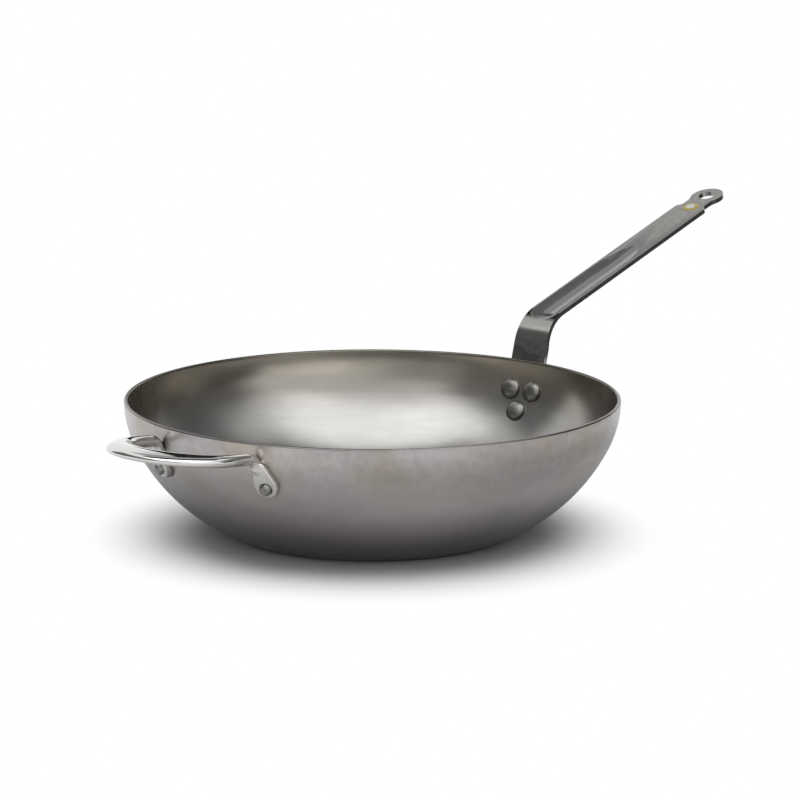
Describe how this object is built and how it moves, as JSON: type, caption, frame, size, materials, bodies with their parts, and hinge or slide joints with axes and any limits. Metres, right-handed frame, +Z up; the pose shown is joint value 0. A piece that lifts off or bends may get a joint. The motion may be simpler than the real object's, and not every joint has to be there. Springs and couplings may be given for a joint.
{
  "type": "carbon steel wok",
  "caption": "Flat-bottomed round steel wok with a riveted, dished strap handle and a cast helper handle.",
  "frame": {"origin": "centre of the flat base's underside, where the wok stands", "axes": "+Z up along the bowl's axis, +X along the long handle seen from above, helper handle towards -X"},
  "size_m": [0.5985, 0.32, 0.1793],
  "materials": {
    "carbon_steel_bowl": "fine circular brushing with faint straw heat tint",
    "steel_strap": "smooth dark satin coat",
    "rivet_steel": "dark satin domed heads",
    "cast_stainless": "mirror-polished grip, satin cast feet",
    "helper_rivet_steel": "plain upset ends",
    "badge_enamel": "glossy yellow button with a plain white spot"
  },
  "bodies": {
    "root": {"wok_body": "carbon_steel_bowl", "long_handle": "steel_strap", "handle_rivets": "rivet_steel", "helper_handle": "cast_stainless", "helper_rivets": "helper_rivet_steel", "badge_button": "badge_enamel"}
  },
  "joints": []
}
